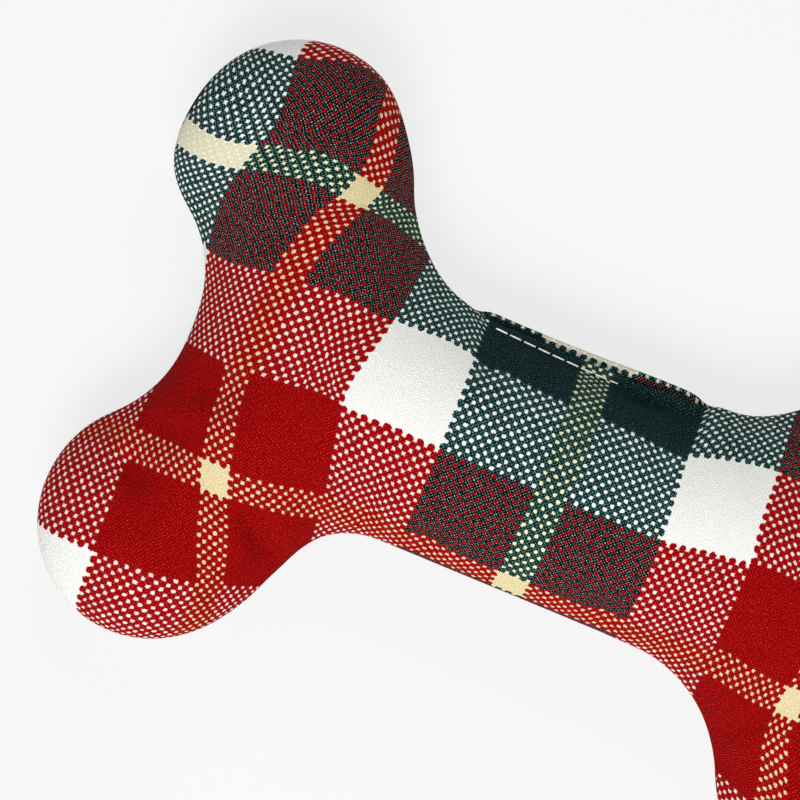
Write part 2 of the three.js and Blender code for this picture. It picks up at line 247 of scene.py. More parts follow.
# %% [markdown]
# ## Mesh helpers
#
# Every new piece is a grid of points. These helpers join the rows with quads, weld the points that
# coincide on the crown line, and put whole arrays into a Blender mesh.

# %% Mesh helpers
WELD = 2e-6


def bands(rows, count):
    """Quads between the neighbouring rows of a grid whose rows close on themselves."""
    a = np.arange(rows * count).reshape(rows, count)
    b = np.roll(a, -1, axis=1)
    return np.stack([a[:-1], b[:-1], b[1:], a[1:]], axis=-1).reshape(-1, 4)


def welded(points):
    """The distinct points, the first place of each, and for every given point the number of its own."""
    key = np.round(points / WELD).astype(np.int64)
    _, first, number = np.unique(key, axis=0, return_index=True, return_inverse=True)
    return points[first], first, number.ravel()


def corner_lists(quads):
    """Faces for from_pydata: quads whose last two corners are one point become triangles."""
    folded = quads[:, 2] == quads[:, 3]
    return quads[~folded].tolist() + quads[folded][:, :3].tolist()


def mesh_of(name, points, faces):
    """A mesh from an array of points and a list of faces, shaded smooth."""
    mesh = bpy.data.meshes.new(name)
    mesh.from_pydata(np.asarray(points, float).tolist(), [], faces)
    mesh.polygons.foreach_set("use_smooth", np.ones(len(mesh.polygons), bool))
    mesh.update()
    return mesh


def piece_of(name, mesh, material=None):
    """An object at the origin for a mesh."""
    piece = bpy.data.objects.new(name, mesh)
    SCENE.collection.objects.link(piece)
    if material:
        mesh.materials.append(material)
    return piece


def points_of(mesh):
    """A mesh's points as an array."""
    flat = np.empty(len(mesh.vertices) * 3, np.float32)
    mesh.vertices.foreach_get("co", flat)
    return flat.reshape(-1, 3).astype(float)


# %% [markdown]
# ## The two panels as one sewn skin
#
# For the simulation the panels are one closed skin, joined along the rim. Its points are also needed in
# the flat cut, because cloth keeps the lengths that it was cut with and because the plaid was woven
# before it was cut. A point's share of the way from crown to rim is the same in the cut as on the arc of
# the finished wall. That leaves kinks between shaft, flank and knob, so every point is then eased a few
# times towards the mean of its neighbours, while the rim stays where it was cut.

# %% Sewn skin and flat cut
EASE_STEPS, EASE = 20, 0.8


def eased(place, triangles, held):
    """Places moved part of the way to the mean of their neighbours, again and again; held ones stay."""
    sides = np.vstack([triangles[:, [0, 1]], triangles[:, [1, 2]], triangles[:, [2, 0]]])
    sides = np.unique(np.sort(sides, axis=1), axis=0)
    start, end = np.vstack([sides, sides[:, ::-1]]).T
    count = np.bincount(start, minlength=len(place))[:, None]
    for _ in range(EASE_STEPS):
        total = [np.bincount(start, place[end, axis], len(place)) for axis in range(2)]
        step = EASE * (np.stack(total, axis=1) / count - place)
        step[held] = 0
        place = place + step
    return place


front_points, front_first, front_number = welded(wall.reshape(-1, 3))
front_quads = front_number[bands(ROWS + 1, STATIONS)]
front_triangles = np.vstack([front_quads[:, [0, 1, 2]], front_quads[:, [0, 2, 3]]])
front_triangles = front_triangles[front_triangles[:, 1] != front_triangles[:, 2]]
rim_numbers = front_number[:STATIONS]

share = np.linspace(1, 0, ROWS + 1)[:, None, None]
cut_guess = (cut_crown + (cut_rim - cut_crown) * share).reshape(-1, 2)[front_first]
cut_place = eased(cut_guess, front_triangles, rim_numbers)
cut_rows = cut_place[front_number].reshape(ROWS + 1, STATIONS, 2)
print("flat cut found for", len(cut_place), "points")

# %% [markdown]
# ## Cloth simulation
#
# The skin starts at the stuffed form and keeps the lengths of the flat cut, while a pressure stands for
# the fibre. The seam is held, so the slack gathers into soft folds across the necks. Tight stuffing
# leaves only a part of those folds, so the result is mixed with the stuffed form. A Cloth modifier reads
# its rest shape only behind another modifier, so an idle Weld stands before it.

# %% Cloth simulation
CLOTH_FRAMES = 16
FOLD_SHARE = 0.5
IDLE_WELD = 1e-7
CLOTH_SETTINGS = dict(
    quality=5, mass=0.003, tension_stiffness=40, compression_stiffness=0.2, shear_stiffness=0.5,
    bending_stiffness=40, tension_damping=25, air_damping=2, use_pressure=True,
    uniform_pressure_force=3000, vertex_group_mass="seam",
)


def closed_skin(front):
    """Points and faces of both panels, the front's points and then the back's below the rim as mirrored,
    and for every front point the number of its twin on the back."""
    inner = np.setdiff1d(np.arange(len(front)), rim_numbers)
    twin = np.arange(len(front))
    twin[inner] = len(front) + np.arange(len(inner))
    back = front[inner] * [1, 1, -1]
    faces = [face[::-1] for face in corner_lists(front_quads)] + corner_lists(twin[front_quads])
    return np.vstack([front, back]), faces, inner, twin


def simulated_skin():
    """The skin before and after the cloth has pulled back to its cut lengths against the fibre's pressure,
    and the twins of its front points."""
    points, faces, inner, twin = closed_skin(front_points)
    flat = np.vstack([cut_place, cut_place[inner]])
    skin = piece_of("sewn_skin", mesh_of("sewn_skin", points, faces))
    skin.shape_key_add(name="stuffed")
    key = skin.shape_key_add(name="flat_cut")
    key.data.foreach_set("co", np.column_stack([flat, np.zeros(len(flat))]).astype(np.float32).ravel())
    skin.vertex_groups.new(name="seam").add(np.unique(rim_numbers).tolist(), 1.0, "REPLACE")
    skin.modifiers.new("idle", "WELD").merge_threshold = IDLE_WELD
    cloth = skin.modifiers.new("cloth", "CLOTH")
    cloth.collision_settings.use_collision = False
    cloth.point_cache.frame_start = 1
    cloth.point_cache.frame_end = CLOTH_FRAMES
    for name, value in CLOTH_SETTINGS.items():
        setattr(cloth.settings, name, value)
    cloth.settings.effector_weights.gravity = 0
    cloth.settings.rest_shape_key = key
    for number in range(1, CLOTH_FRAMES + 1):
        SCENE.frame_set(number)
    settled = points_of(skin.evaluated_get(bpy.context.evaluated_depsgraph_get()).data)
    bpy.data.objects.remove(skin)
    SCENE.frame_set(1)
    return points, settled, twin


front_wall, back_wall = wall.copy(), wall * [1, 1, -1]
start_points, settled, twin = simulated_skin()
mixed = start_points + FOLD_SHARE * (settled - start_points)
front_wall = mixed[front_number].reshape(wall.shape)
back_wall = mixed[twin[front_number]].reshape(wall.shape)
moved = np.linalg.norm(mixed - start_points, axis=1)
print(f"cloth moved up to {moved.max() / MM:.1f} mm")

# %% [markdown]
# ## Shaped by hand
#
# A hand-stuffed toy is never quite symmetrical. A few soft pushes move parts of the bone sideways: each
# has a place, a shift and a reach in millimetres, and fades like a bell curve. Everything soft but the
# squeaker is put through the same pushes, so the pieces stay together.

# %% Shaped by hand
FLOOR_SOFT = 1.2 * MM
HAND_PUSHES = {
    "upper left knob": ((-80, 46), (-1.6, 1.9), 26),
    "upper left knob's foot": ((-98, 30), (-1.6, -0.8), 11),
    "upper left knob's shoulder": ((-53, 57), (-2, 0), 12),
    "upper left neck": ((-43, 34), (1.2, 1.3), 14),
    "left notch": ((-82, 0), (-0.7, 0), 9),
    "lower left knob": ((-84, -42), (0.8, 0), 24),
    "lower left neck": ((-49, -39), (2, -1.3), 10),
    "lower right knob": ((60, -56), (8, 0), 18),
    "lower right neck": ((44, -31), (1.8, -0.9), 14),
    "upper right neck": ((42, 32), (-0.8, 1.8), 14),
    "right end of the gap": ((17, 27), (0, 1), 12),
}


def pushed(places, amounts, pushes):
    """Amounts moved by every push, each weighed by a bell curve of the distance from place to push."""
    moved = np.array(amounts, float)
    for centre, shift, reach in pushes.values():
        away = ((places[..., :2] / MM - centre) ** 2).sum(axis=-1)
        moved[..., :2] += np.array(shift) * MM * np.exp(-away / reach**2)[..., None]
    return moved


def by_hand(points):
    """Points moved sideways by the maker's pushes."""
    return pushed(points, points, HAND_PUSHES)


def on_floor(z):
    """Heights that settle on the floor: a rounded maximum of the height and zero."""
    return (z + np.sqrt(z**2 + FLOOR_SOFT**2)) / 2


print("hand pushes:", len(HAND_PUSHES))

# %% [markdown]
# ## Creases
#
# Some creases are too sharp for the simulation's grid: where the closing row pulls at the cloth, at the
# shaft's lower edge, and across the necks, the notch and one knob. Each is a shallow valley along a line,
# pressed in along the surface's normals. Places, widths and depths are in millimetres.

# %% Creases
FADES_IN, FADES_OUT = 4, 2
TINY = 1e-12
CREASES = {
    "left end of the gap": ((-23.5, 25), (-22, 11), 2, 2),
    "right end of the gap": ((19.5, 22.8), (21.5, 15), 2, 2),
    "under the right of the lip": ((4, 22.4), (20, 20.6), 1.8, 1.2),
    "lower left end of the shaft": ((-40.5, -13), (-34.5, -25), 1.9, 1.3),
    "lower right end of the shaft": ((39.5, -22.5), (47.5, -18), 2.2, 1.5),
    "lower left of the shaft": ((-22, -19.5), (-17.5, -25.5), 2, 1.3),
    "lower right of the shaft": ((17, -20), (24, -25), 2, 1.3),
    "upper left neck": ((-77, 19.5), (-66, 29.5), 2, 1.7),
    "lower left knob": ((-88, -28), (-76, -36), 3.3, 2.1),
    "left notch": ((-86, -23), (-68, -20), 3, 2.1),
    "inside of the left notch": ((-80.5, -9.5), (-62, -10.5), 4.5, 2.2),
    "lower left neck": ((-58, -28), (-49, -42), 3.2, 1.9),
}


def grid_normals(grid):
    """Unit normals of a grid of rows, from the differences along it and across it. They are upright on the
    crown, where two sides meet and have to stay together."""
    along_row = np.roll(grid, -1, axis=1) - np.roll(grid, 1, axis=1)
    normal = np.cross(np.gradient(grid, axis=0), along_row)
    normal[-1] = (0, 0, 1)
    return normal / np.maximum(np.linalg.norm(normal, axis=-1, keepdims=True), TINY)


def creased(grid):
    """The grid pressed in along its normals: each crease is a bell curve of the distance from its line,
    fading to nothing at both ends."""
    depth = np.zeros(grid.shape[:2])
    for start, end, width, deep in CREASES.values():
        start, line = np.array(start), np.array(end) - np.array(start)
        away = grid[..., :2] / MM - start
        share = np.clip((away @ line) / (line @ line), 0, 1)
        off = np.linalg.norm(away - share[..., None] * line, axis=-1)
        fade = smooth(FADES_IN * share) * smooth(FADES_OUT * (1 - share))
        depth += deep * MM * np.exp(-((off / width) ** 2)) * fade
    return grid - grid_normals(grid) * depth[..., None]


front_wall = creased(front_wall)
print("creases:", ", ".join(CREASES))

# %% [markdown]
# ## Cloth that slid
#
# The canvas also slid over the stuffing before it was tight, so the stripes lean and crowd on the knobs.
# The same kind of soft push, now on the flat places, moves the front's plaid over the form.

# %% Cloth slides
CLOTH_SLIDES = {
    "upper left knob, outside": ((-90, 44), (-8, 8), 16),
    "upper left knob, inside": ((-62, 42), (-4.8, 1.7), 14),
    "upper left knob, shoulder": ((-66, 66), (0, -4.5), 12),
    "upper left knob, top": ((-86, 66), (1.5, 6), 12),
    "upper left knob, over the top": ((-75, 63), (-1.2, 2.8), 11),
    "upper left knob, below its cream stripe": ((-90, 36), (-0.7, 1.6), 13),
    "upper left knob, foot": ((-80, 16), (-0.9, 2), 13),
    "upper left neck": ((-68, 16), (1.5, -0.5), 12),
    "lower left knob, outside": ((-92, -36), (-4.5, -0.5), 16),
    "lower left knob, inside": ((-64, -51), (-3.5, -0.2), 13),
    "lower left knob, bottom": ((-82, -54), (-1.5, -0.6), 9),
    "left notch": ((-69, -7), (2.7, 1.1), 10),
    "lower left neck": ((-62, -22), (1, 1), 12),
    "left end of the shaft": ((-46, -2), (3, 0), 13),
    "left of the shaft's lower edge": ((-12, -23), (0, 0.5), 11),
    "right of the shaft's lower edge": ((10, -23), (0, 0.5), 11),
    "left of the gap": ((-24, 17), (0.5, -1.5), 10),
    "right of the gap": ((24, 14), (1, 2), 11),
    "upper right neck": ((46, 8), (2, -2.5), 16),
    "lower right neck": ((46, -22), (1, -2.5), 14),
    "lower right knob": ((64, -26), (5, -2), 12),
}

slid_rows = pushed(wall, cut_rows, CLOTH_SLIDES)
print(f"cloth slid up to {np.linalg.norm(slid_rows - cut_rows, axis=-1).max() / MM:.1f} mm")

# %% [markdown]
# ## Finding a way round the node editor
#
# A material here is a small program of nodes. One helper adds a node and fills its inputs, and others
# write arithmetic and mix colours. Thread, fibre and plastic are all of one kind: two tones mixed by
# noise, with a bump.

# %% Node helpers
def put(tree, kind, inputs=None, **settings):
    """A node with its settings; each input is a value, or a socket to link."""
    node = tree.nodes.new("ShaderNode" + kind)
    for name, value in settings.items():
        setattr(node, name, value)
    for name, value in (inputs or {}).items():
        if isinstance(value, bpy.types.NodeSocket):
            tree.links.new(value, node.inputs[name])
        else:
            node.inputs[name].default_value = value
    return node


def calc(tree, operation, *values):
    """The result of one step of arithmetic."""
    return put(tree, "Math", dict(enumerate(values)), operation=operation).outputs[0]


def tint(*levels):
    """A colour from screen levels of 0 to 255."""
    share = np.array(levels) / 255
    linear = np.where(share <= 0.04045, share / 12.92, ((share + 0.055) / 1.055) ** 2.4)
    return (*linear.tolist(), 1.0)


def new_group(name, inputs, outputs):
    """An empty node group with named sockets, and its input and output nodes."""
    group = bpy.data.node_groups.new(name, "ShaderNodeTree")
    for socket, kind in inputs.items():
        group.interface.new_socket(socket, in_out="INPUT", socket_type="NodeSocket" + kind)
    for socket, kind in outputs.items():
        group.interface.new_socket(socket, in_out="OUTPUT", socket_type="NodeSocket" + kind)
    return group, group.nodes.new("NodeGroupInput"), group.nodes.new("NodeGroupOutput")


def new_material(name, roughness):
    """A material with its Principled shader, and the tree to add nodes to."""
    material = bpy.data.materials.new(name)
    material.use_nodes = True
    shader = material.node_tree.nodes["Principled BSDF"]
    shader.inputs["Roughness"].default_value = roughness
    return material, material.node_tree, shader


def noise(tree, place, scale, detail, distortion=0.0):
    """A noise texture at a place."""
    inputs = {"Vector": place, "Scale": scale, "Detail": detail, "Distortion": distortion}
    return put(tree, "TexNoise", inputs)


def blended(tree, share, first, second):
    """Colour between two others, by a share from 0 to 1."""
    return put(tree, "Mix", {0: share, 6: first, 7: second}, data_type="RGBA").outputs[2]


def ramped(tree, value, low, high):
    """0 below low, 1 above high, and an S-shaped ramp between; low may also be the larger."""
    inputs = {"Value": value, "From Min": low, "From Max": high}
    return put(tree, "MapRange", inputs, interpolation_type="SMOOTHSTEP").outputs["Result"]


def mottled(name, roughness, tones, cloud, bump, fine=None):
    """A material of two tones mixed by noise, with a bump of some strength and height from the same noise
    or from a finer one. Noise is given by its scale, detail and distortion."""
    material, tree, shader = new_material(name, roughness)
    place = put(tree, "TexCoord").outputs["Object"]
    spots = noise(tree, place, *cloud)
    ramp = put(tree, "ValToRGB", {"Fac": spots.outputs["Fac"]})
    for step, tone in zip(ramp.color_ramp.elements, tones):
        step.color = tone
    grain = noise(tree, place, *fine) if fine else spots
    strength, height = bump
    bumps = put(tree, "Bump", {"Strength": strength, "Distance": height, "Height": grain.outputs["Fac"]})
    tree.links.new(ramp.outputs["Color"], shader.inputs["Base Color"])
    tree.links.new(bumps.outputs["Normal"], shader.inputs["Normal"])
    return material


# %% [markdown]
# ## Plaid canvas
#
# The pattern is a checkerboard of small cells. Broad stripes of green, white and red run both ways, and a
# cell takes its colour from the column's stripe or from the row's, turn by turn. The paler of the two
# shows as small stars on the darker one. A narrow cream stripe runs down the middle of every green and
# red stripe. There the cells of the other direction turn cream, so cream stars lie on the stripe's own
# colour, and all is cream where two cream stripes cross, or where one crosses from green over white. An
# image could hold this, but a formula stays sharp at any size: the product of two sine waves is positive
# on every other cell and negative on the rest.

# %% Plaid canvas
CELL = 1.176 * MM
HALF_REPEAT = 60
STRIPES = ((0, "green"), (21, "white"), (39, "red"))
CREAM_HALF, WHITE_HALF = 3, 9.0
WANDER, WANDER_SCALE = 0.3, 420.0
RAGGED, RAGGED_SCALE = 0.5, 1500.0
THREADS, FUZZ_SCALE = 3, 2600.0

DYES = dict(
    green=tint(9, 40, 41), white=tint(240, 240, 236), red=tint(156, 1, 4), cream=tint(228, 213, 165),
)
CREAM_ON_WHITE, CREAM_ON_GREEN = tint(232, 226, 192), tint(222, 226, 184)
# SALT is the pale speck on the knots of dark threads, partly the fibre's own colour and partly a painted
# glint; TEAL, mixed in by STAR_GLOW beside the stars, is a painted highlight on the dark ground.
SALT, TEAL, FLECK = tint(216, 224, 220), tint(76, 144, 136), tint(226, 84, 74)
PINK, MINT = tint(238, 204, 188), tint(214, 240, 236)
SALT_PLAIN, SALT_MIXED, STAR_GLOW, FLECK_ON_RED = 0.08, 0.32, 0.55, 0.13
STAR_PINK, STAR_MINT = 0.5, 0.5

STAR_SHRINK, STAR_ARMS, STAR_SOFT = 0.26, 0.18, 0.34
SHRINK_ON_RED, SHARPER_ON_GREEN = 3.2, -0.12
DOT_SHRINK, DOT_SOFT = -0.04, 0.2

RED_LIGHT, RED_NEAR = 0.08, 0.03
GREEN_RAMP, PALE_RAMP, WHITE_RAMP = (0.07, 0.03), (0.3, 0.6), (0.76, 0.84)
DARK_PAIR, STAR_PAIR = (0.06, 0.05), 0.2
BESIDE_RAMP = (0.5, 0.1)

KNOT_FUZZ, KNOT_RAMP, KNOT_HEIGHT = 1.6, (0.2, 1.0), 0.5
# The weave's shade is painted: KNOT_SHADE and SHADE_BASE make thread tops lighter and the gaps between
# threads darker, GRAIN_SHADE adds random tone, PALE_FILLS shades pale dyes less, STAR_BRIGHT and RED_BRIGHT
# paint light on the ground beside the stars, and GAP_DARK paints shade round stars on green.
KNOT_SHADE, GRAIN_SHADE, SHADE_BASE, PALE_FILLS = 0.9, 0.7, -0.4, 0.75
STAR_BRIGHT, RED_BRIGHT, GAP_DARK, MIXED_DULL = 0.26, 0.1, 0.75, 0.3


def from_green(tree, cell):
    """Distance of a cell from the middle of the nearest green stripe, in cells."""
    return calc(tree, "PINGPONG", calc(tree, "ADD", calc(tree, "FLOOR", cell), 0.5), HALF_REPEAT)


def creamy(tree, cell):
    """1 where the cream stripe of a green or red stripe runs through a cell."""
    off_white = calc(tree, "ABSOLUTE", calc(tree, "SUBTRACT", from_green(tree, cell), HALF_REPEAT / 2))
    return calc(tree, "GREATER_THAN", off_white, HALF_REPEAT / 2 - CREAM_HALF)


def greenish(tree, cell):
    """1 where a cell is nearer to a green stripe's middle than to a red one's."""
    return calc(tree, "LESS_THAN", from_green(tree, cell), HALF_REPEAT / 2)


def whitish(tree, cell):
    """1 where a cell lies in a white stripe."""
    return calc(tree, "COMPARE", from_green(tree, cell), HALF_REPEAT / 2, WHITE_HALF)


def stripe(tree, cell):
    """Colour of the broad stripe that a cell lies in."""
    ramp = put(tree, "ValToRGB", {"Fac": calc(tree, "DIVIDE", from_green(tree, cell), HALF_REPEAT)})
    ramp.color_ramp.interpolation = "CONSTANT"
    steps = ramp.color_ramp.elements
    for number, (start, dye) in enumerate(STRIPES):
        step = steps[number] if number < 2 else steps.new(start / HALF_REPEAT)
        step.position = start / HALF_REPEAT
        step.color = DYES[dye]
    return ramp.outputs["Color"]


def shown_cell(tree, cell, wave, other_wave, turn):
    """Number of the cell whose colour shows: on this system's turn the cell's own, and otherwise that of the
    neighbour past the nearest edge, because the neighbour's thread bulges over the edge."""
    whole = calc(tree, "FLOOR", cell)
    toward = calc(tree, "SIGN", calc(tree, "SUBTRACT", calc(tree, "FRACT", cell), 0.5))
    nearer = calc(tree, "LESS_THAN", calc(tree, "ABSOLUTE", wave), calc(tree, "ABSOLUTE", other_wave))
    return calc(tree, "MULTIPLY_ADD", calc(tree, "MULTIPLY", nearer, turn), toward, whole)


def arithmetic(tree):
    """Shorthands for the weave's commonest steps: a * b, a * b + c, a - b and the size of a."""
    return [partial(calc, tree, step) for step in ("MULTIPLY", "MULTIPLY_ADD", "SUBTRACT", "ABSOLUTE")]


def lightness(tree, colour):
    """Brightness of a colour."""
    return put(tree, "RGBToBW", {0: colour}).outputs[0]


def weave_waves(tree, cut, starts):
    """For columns and for rows: the cell number, a wave per cell, a wave per thread, and a wave of the bays
    between stars. Noise makes the cells wander and frays their edges."""
    times, times_plus, minus, _ = arithmetic(tree)
    place = put(tree, "SeparateXYZ", {0: cut})
    drift = put(tree, "SeparateColor", {0: noise(tree, cut, WANDER_SCALE, 1.0).outputs["Color"]})
    frayed = put(tree, "SeparateColor", {0: noise(tree, cut, RAGGED_SCALE, 1.0).outputs["Color"]})
    cells, waves, threads, bays = [], [], [], []
    for axis, start, shade in zip("XY", starts, ("Red", "Green")):
        even = calc(tree, "DIVIDE", minus(place.outputs[axis], start), CELL)
        even = times_plus(minus(drift.outputs[shade], 0.5), WANDER, even)
        cell = times_plus(minus(frayed.outputs[shade], 0.5), RAGGED, even)
        cells.append(cell)
        waves.append(calc(tree, "SINE", times(cell, math.pi)))
        threads.append(calc(tree, "SINE", times(cell, THREADS * math.pi)))
        bays.append(calc(tree, "COSINE", times(cell, 2 * math.pi)))
    return cells, waves, threads, bays


def warp_and_weft(tree, cells, waves, checker):
    """Colours of the column's thread and of the row's, with the cream stripes in them."""
    times, times_plus, minus, _ = arithmetic(tree)
    column_turn = calc(tree, "GREATER_THAN", checker, 0.0)
    row_turn = calc(tree, "LESS_THAN", checker, 0.0)
    ways = (cells[0], waves[0], waves[1]), (cells[1], waves[1], waves[0])
    warp_column, warp_row = (shown_cell(tree, *way, row_turn) for way in ways)
    weft_column, weft_row = (shown_cell(tree, *way, column_turn) for way in ways)
    row_cream, column_cream = creamy(tree, warp_row), creamy(tree, weft_column)

    green_over_white = times(whitish(tree, weft_column), greenish(tree, weft_row))
    all_cream = times(creamy(tree, weft_row), green_over_white)
    green_row = greenish(tree, warp_row)
    greened = times_plus(column_cream, greenish(tree, weft_column), times(row_cream, green_row))
    on_green = times(greened, minus(1.0, times(row_cream, column_cream)))
    cream = blended(tree, on_green, DYES["cream"], CREAM_ON_GREEN)
    cream = blended(tree, all_cream, cream, CREAM_ON_WHITE)

    stays_white = times(green_row, whitish(tree, warp_column))
    warp_cream = calc(tree, "GREATER_THAN", row_cream, stays_white)
    weft_cream = calc(tree, "MAXIMUM", column_cream, all_cream)
    warp = blended(tree, warp_cream, stripe(tree, warp_column), cream)
    weft = blended(tree, weft_cream, stripe(tree, weft_row), cream)
    return warp, weft


def basket_plaid():
    """Node group from a place in the flat cut to the canvas's colour and the height of its threads: first
    the stars, then their tints, the pale knots of the dark ground, partly painted glints, and a painted
    teal highlight beside the stars, then painted shade: gaps between threads and round the stars darker,
    thread tops and the ground beside the stars lighter."""
    group, given, out = new_group(
        "basket_plaid",
        {"Cut": "Vector", "Column Start": "Float", "Row Start": "Float"},
        {"Color": "Color", "Height": "Float"},
    )
    times, times_plus, minus, size = arithmetic(group)
    ramp, mix = partial(ramped, group), partial(blended, group)
    cut, *starts = (given.outputs[name] for name in ("Cut", "Column Start", "Row Start"))
    cells, waves, threads, bays = weave_waves(group, cut, starts)
    checker = times(*waves)
    warp, weft = warp_and_weft(group, cells, waves, checker)

    warp_light, weft_light = lightness(group, warp), lightness(group, weft)
    contrast = minus(warp_light, weft_light)
    depth = size(contrast)
    mixed_dark = calc(group, "COMPARE", depth, *DARK_PAIR)
    darker = calc(group, "MINIMUM", warp_light, weft_light)
    ground = ramp(darker, *GREEN_RAMP)
    shrink = times_plus(calc(group, "MINIMUM", darker, RED_LIGHT), SHRINK_ON_RED, STAR_SHRINK)
    shrink = times_plus(mixed_dark, DOT_SHRINK, shrink)
    star = minus(times(times(*bays), STAR_ARMS), shrink)
    edge = times_plus(calc(group, "SIGN", contrast), star, checker)
    soft = times_plus(ground, SHARPER_ON_GREEN, STAR_SOFT)
    soft = times_plus(mixed_dark, DOT_SOFT, soft)
    beside = ramp(size(edge), *BESIDE_RAMP)
    dyes_and_glints = mix(ramp(edge, times(soft, -1.0), soft), weft, warp)

    grain = minus(noise(group, cut, FUZZ_SCALE, 2.0).outputs["Fac"], 0.5)
    knot = ramp(times_plus(grain, KNOT_FUZZ, times(*threads)), *KNOT_RAMP)
    seen_light = lightness(group, dyes_and_glints)
    dark = ramp(seen_light, *GREEN_RAMP)
    by_star = calc(group, "GREATER_THAN", depth, STAR_PAIR)
    on_red = times(minus(by_star, ground), ramp(seen_light, *PALE_RAMP))
    dyes_and_glints = mix(times(on_red, STAR_PINK), dyes_and_glints, PINK)
    on_green = times(times(by_star, ground), ramp(seen_light, *WHITE_RAMP))
    dyes_and_glints = mix(times(on_green, STAR_MINT), dyes_and_glints, MINT)
    # Pale specks on the knots of dark threads, partly fibre colour and partly a painted glint, and a painted
    # teal highlight on the dark ground beside the stars.
    salt = times_plus(mixed_dark, SALT_MIXED, SALT_PLAIN)
    dyes_and_glints = mix(times(dark, times(times(knot, knot), salt)), dyes_and_glints, SALT)
    dyes_and_glints = mix(times(dark, times(knot, times(by_star, STAR_GLOW))), dyes_and_glints, TEAL)
    ruddy = times(calc(group, "COMPARE", seen_light, RED_LIGHT, RED_NEAR), knot)
    dyes_and_glints = mix(times(ruddy, FLECK_ON_RED), dyes_and_glints, FLECK)

    # Painted shade: thread tops lighter and gaps between threads darker, less on pale dyes, with random
    # grain; painted light on the ground beside the stars and painted shade in the gap round stars on green.
    thread_shade_and_grain = times_plus(knot, KNOT_SHADE, times_plus(grain, GRAIN_SHADE, SHADE_BASE))
    filled = times_plus(seen_light, -PALE_FILLS, 1.0)
    star_light_and_gap_shade = times_plus(beside, -GAP_DARK, STAR_BRIGHT - RED_BRIGHT)
    star_light_and_gap_shade = times_plus(ground, star_light_and_gap_shade, RED_BRIGHT)
    brighter = times_plus(by_star, times(filled, star_light_and_gap_shade), 1.0)
    dulled = times_plus(times(mixed_dark, dark), -MIXED_DULL, brighter)
    shade = times_plus(thread_shade_and_grain, filled, dulled)
    lit = put(group, "VectorMath", {0: dyes_and_glints, 1: shade}, operation="MULTIPLY").outputs[0]
    height = times_plus(knot, KNOT_HEIGHT, times(*(size(thread) for thread in threads)))
    group.links.new(lit, out.inputs["Color"])
    group.links.new(height, out.inputs["Height"])
    return group


PLAID = basket_plaid()


def plaid_canvas(name, column_start, row_start):
    """Canvas whose stripes start at a given place of the panel's flat cut."""
    material, tree, shader = new_material(name, 0.88)
    place = put(tree, "Attribute", attribute_name="cut_place")
    weave = put(tree, "Group", node_tree=PLAID)
    tree.links.new(place.outputs["Vector"], weave.inputs["Cut"])
    weave.inputs["Column Start"].default_value = column_start
    weave.inputs["Row Start"].default_value = row_start
    bump = put(tree, "Bump", {"Strength": 0.5, "Distance": 0.25 * MM, "Height": weave.outputs["Height"]})
    tree.links.new(weave.outputs["Color"], shader.inputs["Base Color"])
    tree.links.new(bump.outputs["Normal"], shader.inputs["Normal"])
    shader.inputs["Specular IOR Level"].default_value = 0.03
    return material


FRONT_STRIPES = (-0.55 * MM, 43.0 * MM)
BACK_STRIPES = (-37.8 * MM, 35.6 * MM)
front_canvas = plaid_canvas("plaid_canvas_front", *FRONT_STRIPES)
back_canvas = plaid_canvas("plaid_canvas_back", *BACK_STRIPES)
print("plaid repeats every", round(2 * HALF_REPEAT * CELL / MM, 1), "mm")

# %% [markdown]
# ## Panels
#
# Each panel is its simulated wall and, past the rim, the seam allowance. Round most of the bone the
# allowance is turned inside. Along the gap it is folded into the lip instead: the front's lip is short,
# and the back's shows past it.

# %% Panels
CANVAS = 0.8 * MM
SEAM_GAP = 0.15 * MM
TURNED = dict(reach=(-0.7, -2.6, -5.0), level=(0.05, 0.1, 0.15), cloth=(0.8, 2.7, 5.0))
LIPS = {
    1: dict(
        reach=(1.5, 1.85, -1.2), level=(1.0, 0.5, 0.05), cloth=(2.3, 3.1, 7.0), widens=1.4, covers=1.2,
    ),
    -1: dict(
        reach=(3.0, 3.35, -1.0), level=(1.75, 0.5, 0.0), cloth=(4.2, 5.0, 9.0), widens=2.2, covers=0.0,
    ),
}
ALLOWANCE_ROWS = 3
COVERS_FROM, COVERS_OVER = 0.6, 0.3
SEWN_LEVEL = 0.85 * MM

outward = rim - crown
outward /= np.linalg.norm(outward, axis=1, keepdims=True)
cut_outward = cut_rim - cut_crown
cut_outward /= np.linalg.norm(cut_outward, axis=1, keepdims=True)


def allowance(side, edge, cut_edge):
    """Three rows past the rim, each a step along the outward line: inwards and level where the allowance
    is turned in, outwards and folded back where it makes the lip, mixed by the gap's share. The lip grows
    wider to the right, and near the right end the front's covers more of the back's."""
    lip = LIPS[side]
    share = np.clip((rim[:, 0] - GAP_CENTRE) / GAP_LENGTH + 0.5, 0, 1)
    covers = lip["covers"] * smooth((share - COVERS_FROM) / COVERS_OVER)
    widens = (lip["widens"] * share + covers) * MM

    def mix(key, step):
        start, end = TURNED[key][step] * MM, lip[key][step] * MM
        wider = widens if key == "reach" and step < ALLOWANCE_ROWS - 1 else 0
        return start + (end + wider - start) * gap_share

    rows, cut = [], []
    for step in reversed(range(ALLOWANCE_ROWS)):
        plan = edge[:, :2] + outward * mix("reach", step)[:, None]
        rows.append(np.column_stack([plan, side * mix("level", step)]))
        cut.append(cut_edge + cut_outward * mix("cloth", step)[:, None])
    return np.array(rows), np.array(cut)


